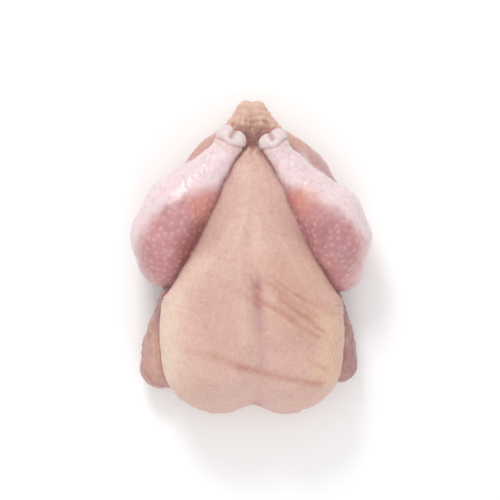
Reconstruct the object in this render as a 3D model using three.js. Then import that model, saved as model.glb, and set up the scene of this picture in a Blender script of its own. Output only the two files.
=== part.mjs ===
// A raw whole chicken, dressed and ready to cook, lying on its back as it is sold.
// Millimetres, +Z up. The breast faces up, the tail points along +Y and the neck end along -Y.
// The bird is one solid: its flesh is a set of rounded masses, and the skin is the smooth
// surface that wraps them, found on a grid and then settled on to that surface.
import * as THREE from 'three';

// Driving sizes
const CELL = 4.5; // spacing of the grid that the skin is found on
const SETTLING_ROUNDS = 12; // rounds that even out the skin's triangles
const MIDDLE = { x: -0.7, y: 12.15 }; // centre of the footprint, where the part's origin goes
const REACH = { low: [-90, -104, -12], high: [90, 126, 90] }; // box that holds the bird

const SKIN = { colour: 0xdcb0a4, roughness: 0.42 };

// The back rests on the ground. Plan circles are for one half and are mirrored.
const BACK = {
  plan: [
    { x: 16, y: -51, r: 32 },
    { x: 10, y: 4, r: 33 },
    { x: 17, y: 69.5, r: 26 },
  ],
  low: -1.2,
  camber: 0.0013, // how fast the back curves up from the ground across the bird
  high: 43.5,
  edge: 20,
};

// Two breast lobes that meet on the keel and taper to its tip
const BREAST = {
  plan: [
    { x: 24, y: -56.5, r: 37 },
    { x: 24, y: -39, r: 37 },
    { x: 0, y: 53.5, r: 15.5 },
  ],
  corner: { x: 47, y: -23.5, r: 13 }, // where the skin squares off beside each knee
  flank: { x: 3, y: 54, r: 16.2 }, // end of the straight edge that runs from there along the leg
  lobeBlend: 13,
  low: 14,
  high: 77.5,
  edge: 23,
  crown: 0.0026, // fall of the top across the bird
  tailFall: { from: -32, rate: 0.003 },
  neckFall: { from: -50, rate: 0.0088 },
};
const KEEL_GROOVE = { x: 3, depth: 2.2, spread: 5, from: -86, to: 8, fade: 17 };

const BELLY = { y: 48, z: 33, across: 33, along: 43, up: 24 };
const NECK_SKIN = { x: 19, y: -70, z: 29, r: 17.5 };
const TAIL = { rootX: 13, rootY: 84, rootZ: 19.5, rootR: 14, tipX: 3.4, tipY: 111, tipZ: 24, tipR: 7 };
const VENT = { y: 98, z: 39.5, across: 15, along: 15, up: 6 };
const VENT_LIP = { lowX: 20, lowY: 87, lowZ: 30, highX: 13, highY: 89, highZ: 45, r: 6.5 };

// Legs are folded against the breast, knee to the neck end and hock to the tail.
// Each drumstick runs through balls from the knee to the cut hock.
const DRUMSTICK = {
  left: [
    { x: -57.5, y: 11, z: 30.5, r: 20.5 },
    { x: -58, y: 26, z: 38, r: 23.5 },
    { x: -50.2, y: 42.4, z: 41, r: 22.5 },
    { x: -37, y: 57.5, z: 42, r: 18 },
    { x: -25.5, y: 71.5, z: 44.5, r: 12.3 },
    { x: -17.5, y: 83.5, z: 47, r: 8.4 },
    { x: -14.5, y: 89, z: 48, r: 8.2 },
  ],
  right: [
    { x: 60, y: 5.5, z: 29, r: 17.2 },
    { x: 57.2, y: 22.4, z: 37, r: 23 },
    { x: 52.2, y: 38.9, z: 41, r: 21.5 },
    { x: 39, y: 53.5, z: 42, r: 17 },
    { x: 26, y: 69.5, z: 44.5, r: 11.6 },
    { x: 17.5, y: 82, z: 47, r: 8.2 },
    { x: 14.5, y: 87.5, z: 48, r: 8 },
  ],
};
// Two knuckles side by side end each drumstick, where the shank was cut off
const KNUCKLE = {
  left: [{ x: -17.6, y: 93.4, z: 48.5, r: 6.6 }, { x: -10.6, y: 89.6, z: 48.5, r: 6.6 }],
  right: [{ x: 17.6, y: 91.8, z: 48.5, r: 6.5 }, { x: 10.6, y: 88, z: 48.5, r: 6.5 }],
};
const THIGH = {
  left: [
    { x: -28, y: 60, z: 24, r: 20.5 },
    { x: -43.5, y: 40.5, z: 25, r: 23 },
    { x: -56.5, y: 15, z: 25, r: 18 },
  ],
  right: [
    { x: 31, y: 60, z: 24, r: 24.5 },
    { x: 44.5, y: 39, z: 25, r: 23 },
    { x: 57.5, y: 10, z: 24, r: 17 },
  ],
};

// Wings are folded against the sides: upper arm, forearm back to the neck end, then the
// wrist, with the hand tucked under it
const UPPER_ARM = {
  left: [{ x: -39, y: -60, z: 37, r: 19 }, { x: -50, y: -16, z: 29, r: 12.5 }],
  right: [{ x: 39, y: -58, z: 37, r: 19 }, { x: 49, y: -18, z: 29, r: 12 }],
};
const FOREARM = {
  left: [{ x: -53.5, y: -17, z: 20, r: 10.2 }, { x: -60, y: -40, z: 20, r: 11.6 }],
  right: [{ x: 52, y: -20, z: 20, r: 10 }, { x: 58, y: -42, z: 20, r: 11.4 }],
};
const WRIST = {
  left: [{ x: -62.5, y: -48, z: 17.5, r: 11.8 }, { x: -62.5, y: -64.5, z: 18.5, r: 13.6 }],
  right: [{ x: 59.5, y: -49, z: 17.5, r: 11.4 }, { x: 59.5, y: -61.5, z: 18.5, r: 12.4 }],
};
const HAND = {
  left: [
    { x: -57, y: -67, z: 12, r: 11 },
    { x: -52, y: -44, z: 8.5, r: 7.5 },
    { x: -46, y: -22, z: 7.5, r: 5 },
  ],
  right: [
    { x: 54.5, y: -63, z: 12, r: 10.5 },
    { x: 50, y: -43, z: 8.5, r: 7.5 },
    { x: 45, y: -22, z: 7.5, r: 5 },
  ],
};

// How widely neighbouring masses flow into each other
const BLEND = { torso: 18, limb: 7, hip: 15, crease: 6, wing: 8, wrist: 3, vent: 6, knuckle: 3 };

// Smallest of two distances, with the corner between them rounded over a width
function softMin(a, b, width) {
  const near = Math.max(width - Math.abs(a - b), 0) / width;
  return Math.min(a, b) - (near ** 3 * width) / 6;
}

const softMax = (a, b, width) => -softMin(-a, -b, width);

const eased = (t) => {
  const c = THREE.MathUtils.clamp(t, 0, 1);
  return c * c * (3 - 2 * c);
};

// Distance to a tapered limb between two balls
function taper(x, y, z, a, b) {
  const along = [b.x - a.x, b.y - a.y, (b.z ?? 0) - (a.z ?? 0)];
  const from = [x - a.x, y - a.y, z - (a.z ?? 0)];
  const lengthSquared = along[0] ** 2 + along[1] ** 2 + along[2] ** 2;
  const dot = along[0] * from[0] + along[1] * from[1] + along[2] * from[2];
  const t = THREE.MathUtils.clamp(dot / lengthSquared, 0, 1);
  const gap = Math.hypot(from[0] - along[0] * t, from[1] - along[1] * t, from[2] - along[2] * t);
  return gap - THREE.MathUtils.lerp(a.r, b.r, t);
}

// Distance to a run of balls joined by tapers
function limb(x, y, z, balls, blend) {
  let distance = Infinity;
  for (let i = 1; i < balls.length; i += 1) {
    distance = softMin(distance, taper(x, y, z, balls[i - 1], balls[i]), blend);
  }
  return distance;
}

function ellipsoid(x, y, z, rx, ry, rz) {
  const reach = Math.hypot(x / rx, y / ry, z / rz);
  const slope = Math.hypot(x / rx ** 2, y / ry ** 2, z / rz ** 2);
  return slope > 0 ? (reach * (reach - 1)) / slope : -Math.min(rx, ry, rz);
}

// Distance to a cushion: a plan outline raised from low to high, its rim rounded by edge
function cushion(planDistance, z, low, high, edge) {
  const out = planDistance + edge;
  const over = Math.abs(z - (low + high) / 2) - ((high - low) / 2 - edge);
  return Math.min(Math.max(out, over), 0) + Math.hypot(Math.max(out, 0), Math.max(over, 0)) - edge;
}

function back(x, y, z) {
  const plan = limb(Math.abs(x), y, 0, BACK.plan, BLEND.limb);
  return cushion(plan, z, BACK.low + BACK.camber * x * x, BACK.high, BACK.edge);
}

function breast(x, y, z) {
  const left = limb(-x, y, 0, BREAST.plan, BLEND.limb);
  const right = limb(x, y, 0, BREAST.plan, BLEND.limb);
  const edge = [BREAST.plan[1], BREAST.corner, BREAST.flank];
  const side = limb(Math.abs(x), y, 0, edge, BLEND.limb);
  const plan = softMin(softMin(left, right, BREAST.lobeBlend), side, BLEND.limb);
  const tailward = Math.max(y - BREAST.tailFall.from, 0);
  const neckward = Math.max(BREAST.neckFall.from - y, 0);
  const groove = KEEL_GROOVE.depth
    * Math.exp(-((x - KEEL_GROOVE.x) ** 2) / (2 * KEEL_GROOVE.spread ** 2))
    * eased((y - KEEL_GROOVE.from) / KEEL_GROOVE.fade)
    * eased((KEEL_GROOVE.to - y) / KEEL_GROOVE.fade);
  const high = BREAST.high - BREAST.crown * x * x - groove
    - BREAST.tailFall.rate * tailward ** 2 - BREAST.neckFall.rate * neckward ** 2;
  return cushion(plan, z, BREAST.low, high, BREAST.edge);
}

function neckSkin(x, y, z) {
  const left = { x: -NECK_SKIN.x, y: NECK_SKIN.y, z: NECK_SKIN.z, r: NECK_SKIN.r };
  return taper(x, y, z, left, { ...left, x: NECK_SKIN.x });
}

function tail(x, y, z) {
  const root = { x: TAIL.rootX, y: TAIL.rootY, z: TAIL.rootZ, r: TAIL.rootR };
  const tip = { x: TAIL.tipX, y: TAIL.tipY, z: TAIL.tipZ, r: TAIL.tipR };
  return taper(Math.abs(x), y, z, root, tip);
}

function ventLip(x, y, z) {
  const low = { x: VENT_LIP.lowX, y: VENT_LIP.lowY, z: VENT_LIP.lowZ, r: VENT_LIP.r };
  const high = { x: VENT_LIP.highX, y: VENT_LIP.highY, z: VENT_LIP.highZ, r: VENT_LIP.r };
  return taper(Math.abs(x), y, z, low, high);
}

function torso(x, y, z) {
  let body = softMin(back(x, y, z), breast(x, y, z), BLEND.torso);
  body = softMin(body, ellipsoid(x, y - BELLY.y, z - BELLY.z, BELLY.across, BELLY.along, BELLY.up), BLEND.torso);
  body = softMin(body, neckSkin(x, y, z), BLEND.wing);
  body = softMin(body, tail(x, y, z), BLEND.hip);
  body = softMin(body, ventLip(x, y, z), BLEND.vent);
  const vent = ellipsoid(x, y - VENT.y, z - VENT.z, VENT.across, VENT.along, VENT.up);
  return softMax(body, -vent, BLEND.vent);
}

function wing(x, y, z, side) {
  const upper = limb(x, y, z, UPPER_ARM[side], BLEND.limb);
  const fore = limb(x, y, z, FOREARM[side], BLEND.limb);
  const wrist = limb(x, y, z, WRIST[side], BLEND.limb);
  const hand = limb(x, y, z, HAND[side], BLEND.limb);
  const folded = softMin(softMin(upper, fore, BLEND.crease), wrist, BLEND.wrist);
  return softMin(folded, hand, BLEND.crease);
}

// Signed distance from a point to the whole skin, negative inside the bird
function bird(x, y, z) {
  const side = x < 0 ? 'left' : 'right';
  const thigh = limb(x, y, z, THIGH[side], BLEND.limb);
  const shank = limb(x, y, z, DRUMSTICK[side], BLEND.limb);
  const drumstick = softMin(shank, limb(x, y, z, KNUCKLE[side], BLEND.limb), BLEND.knuckle);
  let whole = softMin(torso(x, y, z), thigh, BLEND.hip);
  whole = softMin(whole, wing(x, y, z, side), BLEND.wing);
  return softMin(whole, drumstick, BLEND.crease);
}

// The skin's own direction and distance at a point
function surfaceAt(p, step) {
  const d = bird(p.x, p.y, p.z);
  const slope = new THREE.Vector3(
    bird(p.x + step, p.y, p.z) - bird(p.x - step, p.y, p.z),
    bird(p.x, p.y + step, p.z) - bird(p.x, p.y - step, p.z),
    bird(p.x, p.y, p.z + step) - bird(p.x, p.y, p.z - step),
  ).divideScalar(2 * step);
  return { d, slope };
}

// Moves a point straight on to the skin
function land(p) {
  for (let i = 0; i < 3; i += 1) {
    const { d, slope } = surfaceAt(p, 0.2);
    const steep = Math.max(slope.lengthSq(), 0.25);
    p.addScaledVector(slope, -THREE.MathUtils.clamp(d / steep, -CELL, CELL));
  }
  return p;
}

// A crease narrower than a grid cell would pinch the skin to nothing. Where flesh and air
// lie crosswise on a grid square, the air nearest to the skin is taken as flesh.
function fillHairlines(value, count, index) {
  const axes = [[1, 0, 0], [0, 1, 0], [0, 0, 1]];
  let filled = true;
  while (filled) {
    filled = false;
    for (let k = 1; k < count[2] - 1; k += 1) {
      for (let j = 1; j < count[1] - 1; j += 1) {
        for (let i = 1; i < count[0] - 1; i += 1) {
          for (let axis = 0; axis < 3; axis += 1) {
            const [u, v] = [axes[(axis + 1) % 3], axes[(axis + 2) % 3]];
            const square = [
              index(i, j, k),
              index(i + u[0], j + u[1], k + u[2]),
              index(i + u[0] + v[0], j + u[1] + v[1], k + u[2] + v[2]),
              index(i + v[0], j + v[1], k + v[2]),
            ];
            const flesh = square.map((n) => value[n] < 0);
            if (flesh[0] !== flesh[2] || flesh[1] !== flesh[3] || flesh[0] === flesh[1]) continue;
            const air = square.filter((n) => value[n] >= 0);
            value[value[air[0]] < value[air[1]] ? air[0] : air[1]] = -Number.EPSILON;
            filled = true;
          }
        }
      }
    }
  }
}

// One point in each grid cell that the skin passes through, and one four-sided face across
// each grid edge that it crosses
function wrapGrid() {
  const count = REACH.low.map((low, axis) => Math.ceil((REACH.high[axis] - low) / CELL) + 1);
  const index = (i, j, k) => (k * count[1] + j) * count[0] + i;
  const corner = (i, axis) => REACH.low[axis] + i * CELL;
  const value = new Float64Array(count[0] * count[1] * count[2]);
  for (let k = 0; k < count[2]; k += 1) {
    for (let j = 0; j < count[1]; j += 1) {
      for (let i = 0; i < count[0]; i += 1) {
        value[index(i, j, k)] = bird(corner(i, 0), corner(j, 1), corner(k, 2));
      }
    }
  }
  fillHairlines(value, count, index);
  const points = [];
  const pointOfCell = new Map();
  const cellPoint = (i, j, k) => {
    const key = index(i, j, k);
    if (!pointOfCell.has(key)) {
      pointOfCell.set(key, points.length);
      points.push(land(new THREE.Vector3(corner(i + 0.5, 0), corner(j + 0.5, 1), corner(k + 0.5, 2))));
    }
    return pointOfCell.get(key);
  };
  const faces = [];
  for (let k = 1; k < count[2] - 1; k += 1) {
    for (let j = 1; j < count[1] - 1; j += 1) {
      for (let i = 1; i < count[0] - 1; i += 1) {
        const inside = value[index(i, j, k)] < 0;
        for (let axis = 0; axis < 3; axis += 1) {
          const step = [0, 0, 0];
          step[axis] = 1;
          if (inside === value[index(i + step[0], j + step[1], k + step[2])] < 0) continue;
          const u = [0, 0, 0];
          const v = [0, 0, 0];
          u[(axis + 1) % 3] = 1;
          v[(axis + 2) % 3] = 1;
          const face = [
            cellPoint(i - u[0] - v[0], j - u[1] - v[1], k - u[2] - v[2]),
            cellPoint(i - v[0], j - v[1], k - v[2]),
            cellPoint(i, j, k),
            cellPoint(i - u[0], j - u[1], k - u[2]),
          ];
          faces.push(inside ? face : face.reverse());
        }
      }
    }
  }
  return { points, faces };
}

// Slides each point towards the middle of its neighbours and back on to the skin
function settle({ points, faces }) {
  const neighbours = points.map(() => new Set());
  for (const face of faces) {
    face.forEach((point, corner) => {
      neighbours[point].add(face[(corner + 1) % 4]);
      neighbours[point].add(face[(corner + 3) % 4]);
    });
  }
  for (let round = 0; round < SETTLING_ROUNDS; round += 1) {
    const middles = points.map((_, i) => {
      const middle = new THREE.Vector3();
      neighbours[i].forEach((n) => middle.add(points[n]));
      return middle.divideScalar(neighbours[i].size);
    });
    points.forEach((p, i) => land(p.lerp(middles[i], 0.5)));
  }
}

// Closed triangles from the four-sided faces, each split along its shorter diagonal. What
// would sink into the ground is pressed flat on it, as the back is where the bird rests.
function skinGeometry() {
  const wrap = wrapGrid();
  settle(wrap);
  const corners = wrap.points.map((p) => new THREE.Vector3(p.x - MIDDLE.x, p.y - MIDDLE.y, Math.max(p.z, 0)));
  const triangles = wrap.faces.flatMap(([a, b, c, d]) => {
    const short = corners[a].distanceTo(corners[c]) < corners[b].distanceTo(corners[d]);
    return short ? [a, b, c, a, c, d] : [a, b, d, b, c, d];
  });
  const geometry = new THREE.BufferGeometry().setFromPoints(corners);
  geometry.setIndex(triangles);
  geometry.computeVertexNormals();
  return geometry;
}

const chicken = new THREE.Mesh(
  skinGeometry(),
  new THREE.MeshStandardMaterial({ color: SKIN.colour, roughness: SKIN.roughness, metalness: 0 }),
);
chicken.name = 'chicken';

const part = new THREE.Group();
part.add(chicken);

export default part;
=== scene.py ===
# A raw whole chicken on its back, seen from straight above on a pale floor.
# The skin is one fine closed mesh, found on a grid over the same rounded masses as the solid.
# It is then wrinkled, pleated and coloured zone by zone.
from types import SimpleNamespace

import bmesh
import bpy
import numpy as np
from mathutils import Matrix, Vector, kdtree, noise


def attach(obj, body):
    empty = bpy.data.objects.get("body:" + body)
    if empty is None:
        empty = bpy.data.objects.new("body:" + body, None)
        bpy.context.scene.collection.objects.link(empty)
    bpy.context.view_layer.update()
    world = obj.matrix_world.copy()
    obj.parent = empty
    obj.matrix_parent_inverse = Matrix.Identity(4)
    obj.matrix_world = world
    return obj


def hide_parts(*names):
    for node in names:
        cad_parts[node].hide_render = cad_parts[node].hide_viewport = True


MM = 0.001
TURN = 2 * np.pi
EXPOSURE, CONTRAST = 0.9, 1.06  # how the skin's colours are taken down, so that they come out as seen

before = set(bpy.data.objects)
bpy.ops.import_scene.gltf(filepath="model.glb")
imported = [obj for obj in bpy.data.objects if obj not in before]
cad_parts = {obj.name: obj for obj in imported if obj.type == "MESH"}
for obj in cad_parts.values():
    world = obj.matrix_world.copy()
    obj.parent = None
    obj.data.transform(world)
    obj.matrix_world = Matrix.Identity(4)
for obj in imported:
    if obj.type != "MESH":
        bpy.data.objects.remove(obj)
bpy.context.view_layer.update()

# Camera and lights, in metres
VIEW_WIDTH = 337.5 * MM  # width of the picture at the height of the bird's outline
OUTLINE_HEIGHT = 40 * MM
CAMERA_DISTANCE = 2.0
CAMERA_CENTRE = (-0.65 * MM, 4.05 * MM)
SENSOR = 36.0
LIGHTS = [
    dict(name="key", place=(-0.3, 0.95, 1.0), size=0.4, power=7),
    dict(name="fill", place=(0.2, -1.0, 0.7), size=0.8, power=3),
    dict(name="top", place=(0, 0, 1.5), size=1.0, power=2.5),
]
WORLD_STRENGTH = 0.72
FLOOR_HALF_WIDTH = 3.0

# The masses of the bird, in millimetres, in the same frame as the solid but for MIDDLE
MIDDLE = (-0.7, 12.15)

BACK = dict(
    plan=[(16, -51, 32), (10, 4, 33), (17, 69.5, 26)],
    low=-1.2, camber=0.0013, high=43.5, edge=20,
)
BREAST = dict(
    plan=[(24, -56.5, 37), (24, -39, 37), (0, 53.5, 15.5)], corner=(47, -23.5, 12.2),
    flank=[(45, -21, 12), (3, 54, 15.6)],
    lobe_blend=13, low=14, high=77.5, edge=23, crown=0.0026,
    tail_fall=(-32, 0.003), neck_fall=(-50, 0.0088),
)
KEEL_GROOVE = dict(x=3, depth=2.2, spread=5, start=-86, end=8, fade=17)
BELLY = dict(centre=(0, 48, 33), radii=(33, 43, 24))
NECK_SKIN = dict(x=19, y=-70, z=29, r=17.5)
TAIL = [(13, 84, 19.5, 14), (3.4, 111, 24, 7)]
VENT = dict(centre=(0, 98, 39.5), radii=(15, 15, 6))
VENT_LIP = [(20, 87, 30, 6.5), (13, 89, 45, 6.5)]
DRUMSTICK = dict(
    left=[(-57.5, 11, 30.5, 20.5), (-58, 26, 38, 23.5), (-50.2, 42.4, 41, 22.5), (-37, 57.5, 42, 18),
          (-25.5, 71.5, 44.5, 12.3), (-17.5, 83.5, 47, 8.4), (-14.5, 89, 48, 8.2)],
    right=[(60, 5.5, 29, 17.2), (57.2, 22.4, 37, 23), (52.2, 38.9, 41, 21.5), (39, 53.5, 42, 17),
           (26, 69.5, 44.5, 11.6), (17.5, 82, 47, 8.2), (14.5, 87.5, 48, 8)],
)
KNUCKLE = dict(
    left=[(-17.6, 93.4, 48.5, 6.6), (-10.6, 89.6, 48.5, 6.6)],
    right=[(17.6, 91.8, 48.5, 6.5), (10.6, 88, 48.5, 6.5)],
)
THIGH = dict(
    left=[(-28, 60, 24, 20.5), (-43.5, 40.5, 25, 23), (-56.5, 15, 25, 18)],
    right=[(31, 60, 24, 24.5), (44.5, 39, 25, 23), (57.5, 10, 24, 17)],
)
UPPER_ARM = dict(
    left=[(-39, -60, 37, 19), (-50, -16, 29, 12.5)],
    right=[(39, -58, 37, 19), (49, -18, 29, 12)],
)
FOREARM = dict(
    left=[(-53.5, -17, 20, 10.2), (-60, -40, 20, 11.6)],
    right=[(52, -20, 20, 10), (58, -42, 20, 11.4)],
)
WRIST = dict(
    left=[(-62.5, -48, 17.5, 11.8), (-62.5, -64.5, 18.5, 13.6)],
    right=[(59.5, -49, 17.5, 11.4), (59.5, -61.5, 18.5, 12.4)],
)
HAND = dict(
    left=[(-57, -67, 12, 11), (-52, -44, 8.5, 7.5), (-46, -22, 7.5, 5)],
    right=[(54.5, -63, 12, 10.5), (50, -43, 8.5, 7.5), (45, -22, 7.5, 5)],
)
BLEND = dict(torso=18, flank=14, limb=7, hip=15, crease=1.5, wing=3, wrist=2, vent=5, knuckle=2.5)
REACH = ((-88, -102, -6), (88, 126, 90))  # box that holds the bird
CELL = 1.1  # spacing of the grid that the skin is found on
BLOCK = 4  # grid steps in a block, which is looked into only where the skin may pass
NEAR_BLOCKS = 1.5  # how near to the skin that is, in blocks
LANDING_STEP = 0.05  # over which the slope is measured
LANDING_REACH = 3.0  # furthest that a point moves in one round
LEAST_STEEP = 0.25
SETTLING_ROUNDS = 3


# Distance functions on arrays of points, negative inside
def soft_min(a, b, width):
    """The lesser distance, rounded over the width where the two are alike."""
    near = np.maximum(width - np.abs(a - b), 0) / width
    return np.minimum(a, b) - near**3 * width / 6


def soft_max(a, b, width):
    return -soft_min(-a, -b, width)


def eased(t):
    """Smooth step from 0 to 1."""
    c = np.clip(t, 0, 1)
    return c * c * (3 - 2 * c)


def taper(points, a, b):
    """Distance to a tapered limb between two balls (x, y, z, r)."""
    start, along = np.array(a[:-1]), np.array(b[:-1]) - np.array(a[:-1])
    away = points - start
    t = np.clip(away @ along / (along @ along), 0, 1)
    gap = np.linalg.norm(away - t[:, None] * along, axis=1)
    return gap - (a[-1] + (b[-1] - a[-1]) * t)


def limb(points, balls, blend):
    """Distance to a chain of tapered limbs."""
    distance = taper(points, balls[0], balls[1])
    for a, b in zip(balls[1:], balls[2:]):
        distance = soft_min(distance, taper(points, a, b), blend)
    return distance


def ellipsoid(points, centre, radii):
    away, radii = points - np.array(centre), np.array(radii, float)
    reach = np.linalg.norm(away / radii, axis=1)
    slope = np.maximum(np.linalg.norm(away / radii**2, axis=1), 1e-9)
    return reach * (reach - 1) / slope


def cushion(plan, z, low, high, edge):
    """Distance to a plan outline raised from low to high, its rim rounded by edge."""
    out = plan + edge
    over = np.abs(z - (low + high) / 2) - ((high - low) / 2 - edge)
    return np.minimum(np.maximum(out, over), 0) + np.hypot(np.maximum(out, 0), np.maximum(over, 0)) - edge


def mirrored(points):
    return points * (-1, 1, 1)


def one_side(points):
    return np.column_stack([np.abs(points[:, 0]), points[:, 1:]])


def back(points):
    plan = limb(one_side(points)[:, :2], BACK["plan"], BLEND["limb"])
    low = BACK["low"] + BACK["camber"] * points[:, 0] ** 2
    return cushion(plan, points[:, 2], low, BACK["high"], BACK["edge"])


def breast_plan(points):
    """Distance in plan to the outline of the breast."""
    left = limb(mirrored(points)[:, :2], BREAST["plan"], BLEND["limb"])
    right = limb(points[:, :2], BREAST["plan"], BLEND["limb"])
    flat = one_side(points)[:, :2]
    plan = soft_min(left, right, BREAST["lobe_blend"])
    plan = soft_min(plan, taper(flat, BREAST["plan"][1], BREAST["corner"]), BLEND["limb"])
    return soft_min(plan, taper(flat, *BREAST["flank"]), BLEND["flank"])


def breast(points):
    x, y, z = points.T
    plan = breast_plan(points)
    tailward = np.maximum(y - BREAST["tail_fall"][0], 0)
    neckward = np.maximum(BREAST["neck_fall"][0] - y, 0)
    g = KEEL_GROOVE
    groove = g["depth"] * np.exp(-((x - g["x"]) ** 2) / (2 * g["spread"] ** 2))
    groove = groove * eased((y - g["start"]) / g["fade"]) * eased((g["end"] - y) / g["fade"])
    high = BREAST["high"] - BREAST["crown"] * x**2 - groove
    high = high - BREAST["tail_fall"][1] * tailward**2 - BREAST["neck_fall"][1] * neckward**2
    return cushion(plan, z, BREAST["low"], high, BREAST["edge"])


def torso(points):
    body = soft_min(back(points), breast(points), BLEND["torso"])
    body = soft_min(body, ellipsoid(points, BELLY["centre"], BELLY["radii"]), BLEND["torso"])
    n = NECK_SKIN
    flap = taper(points, (-n["x"], n["y"], n["z"], n["r"]), (n["x"], n["y"], n["z"], n["r"]))
    body = soft_min(body, flap, BLEND["wing"])
    body = soft_min(body, taper(one_side(points), *TAIL), BLEND["hip"])
    body = soft_min(body, taper(one_side(points), *VENT_LIP), BLEND["vent"])
    return soft_max(body, -ellipsoid(points, VENT["centre"], VENT["radii"]), BLEND["vent"])


def by_side(points, make):
    """make(points, side) for the points on each side of the keel, as one array."""
    out = np.empty(len(points))
    left = points[:, 0] < 0
    for side, here in (("left", left), ("right", ~left)):
        if here.any():
            out[here] = make(points[here], side)
    return out


def drumstick(points):
    def whole(p, side):
        shank = limb(p, DRUMSTICK[side], BLEND["limb"])
        return soft_min(shank, taper(p, *KNUCKLE[side]), BLEND["knuckle"])
    return by_side(points, whole)


def thigh(points):
    return by_side(points, lambda p, side: limb(p, THIGH[side], BLEND["limb"]))


def wing(points):
    def folded(p, side):
        upper, fore, wrist = (taper(p, *balls[side]) for balls in (UPPER_ARM, FOREARM, WRIST))
        arm = soft_min(soft_min(upper, fore, BLEND["crease"]), wrist, BLEND["wrist"])
        return soft_min(arm, limb(p, HAND[side], BLEND["limb"]), BLEND["crease"])
    return by_side(points, folded)


def bird(points):
    whole = soft_min(torso(points), thigh(points), BLEND["hip"])
    whole = soft_min(whole, wing(points), BLEND["wing"])
    return soft_min(whole, drumstick(points), BLEND["crease"])


def slope_of_bird(points):
    moves = np.eye(3) * LANDING_STEP
    return np.column_stack([(bird(points + m) - bird(points - m)) / (2 * LANDING_STEP) for m in moves])


def land(points):
    """Points moved straight on to the skin. None sinks into the ground."""
    slope = slope_of_bird(points)
    steep = np.maximum((slope**2).sum(1), LEAST_STEEP)
    moved = points - slope * np.clip(bird(points) / steep, -LANDING_REACH, LANDING_REACH)[:, None]
    moved[:, 2] = np.maximum(moved[:, 2], 0)
    return moved


# Mesh helpers
def get_points(mesh):
    """A mesh's points as an array in the bird's own millimetres."""
    co = np.empty(len(mesh.vertices) * 3)
    mesh.vertices.foreach_get("co", co)
    return co.reshape(-1, 3) / MM + (*MIDDLE, 0)


def set_points(mesh, points):
    mesh.vertices.foreach_set("co", ((points - (*MIDDLE, 0)) * MM).ravel())
    mesh.update()


def get_normals(mesh):
    normals = np.empty(len(mesh.vertices) * 3)
    mesh.vertices.foreach_get("normal", normals)
    return normals.reshape(-1, 3)


def neighbour_mean(mesh, values):
    edges = np.empty(len(mesh.edges) * 2, int)
    mesh.edges.foreach_get("vertices", edges)
    a, b = edges.reshape(-1, 2).T
    total, count = np.zeros_like(values), np.zeros(len(values))
    np.add.at(total, a, values[b])
    np.add.at(total, b, values[a])
    np.add.at(count, a, 1)
    np.add.at(count, b, 1)
    return total / np.maximum(count, 1).reshape(-1, *[1] * (values.ndim - 1))


def add_attribute(mesh, name, values):
    attribute = mesh.attributes.new(name, "FLOAT", "POINT")
    attribute.data.foreach_set("value", np.asarray(values, np.float32))


def add_colours(mesh, name, colours):
    attribute = mesh.attributes.new(name, "FLOAT_COLOR", "POINT")
    opaque = np.column_stack([colours, np.ones(len(colours))])
    attribute.data.foreach_set("color", opaque.astype(np.float32).ravel())


def noise_field(points, size, octaves=1, draw=0, stretch=(1, 1, 1)):
    """Smooth noise from about -1 to 1, with lumps of the given size in millimetres.

    Another draw gives another field of the same kind.
    """
    scaled = (points + draw) / (size * np.array(stretch, float))
    if octaves == 1:
        return np.array([noise.noise(Vector(p)) for p in scaled])
    return np.array([noise.fractal(Vector(p), 1.0, 2.0, octaves) for p in scaled])


def sampled_bird(low):
    """The bird's distance on the fine grid, exact only in the blocks that the skin may pass."""
    blocks = np.ceil((np.array(REACH[1]) - low) / (CELL * BLOCK)).astype(int)
    middles = low + (np.indices(blocks).reshape(3, -1).T * BLOCK + (BLOCK - 1) / 2) * CELL
    coarse = bird(middles).reshape(blocks)
    near = np.argwhere(np.abs(coarse) < CELL * BLOCK * NEAR_BLOCKS)
    inner = np.indices((BLOCK,) * 3).reshape(3, -1).T
    nodes = (near[:, None] * BLOCK + inner).reshape(-1, 3)
    value = coarse.repeat(BLOCK, 0).repeat(BLOCK, 1).repeat(BLOCK, 2)
    value[tuple(nodes.T)] = bird(low + nodes * CELL)
    return value


def surface_net():
    """One point in each grid cell that the skin passes, one face across each edge it crosses."""
    low = np.array(REACH[0], float)
    value = sampled_bird(low)
    inside = value < 0
    corners = np.indices((2, 2, 2)).reshape(3, -1).T
    last = np.array(value.shape) - 1
    filled = sum(
        inside[i:last[0] + i, j:last[1] + j, k:last[2] + k].astype(int) for i, j, k in corners
    )
    cells = np.argwhere((filled > 0) & (filled < 8))
    number = np.full(filled.shape, -1)
    number[tuple(cells.T)] = np.arange(len(cells))
    place, crossings = np.zeros(cells.shape), np.zeros(len(cells))
    faces = []
    for axis in range(3):
        step, u, v = np.roll(np.eye(3, dtype=int), -axis, axis=0)
        for corner in corners[corners[:, axis] == 0]:
            a = cells + corner
            here, there = value[tuple(a.T)], value[tuple((a + step).T)]
            crossed = (here < 0) != (there < 0)
            t = np.where(crossed, here / np.where(crossed, here - there, 1), 0)
            place += crossed[:, None] * (a + t[:, None] * step)
            crossings += crossed
        n = np.argwhere(np.diff(inside, axis=axis))
        face = np.column_stack([number[tuple((n - m).T)] for m in (u + v, v, 0 * u, u)])
        outward = inside[tuple(n.T)]
        faces.append(np.where(outward[:, None], face, face[:, ::-1]))
    return low + place / crossings[:, None] * CELL, np.concatenate(faces)


def netted_skin():
    """A fine closed mesh that lies on the bird's masses."""
    points, faces = surface_net()
    mesh = bpy.data.meshes.new("chicken_skin")
    mesh.from_pydata(np.zeros_like(points), [], faces.tolist())
    for _ in range(SETTLING_ROUNDS):
        points = land(0.5 * points + 0.5 * neighbour_mean(mesh, points))
    set_points(mesh, points)
    obj = bpy.data.objects.new("chicken_skin", mesh)
    bpy.context.scene.collection.objects.link(obj)
    return obj


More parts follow.
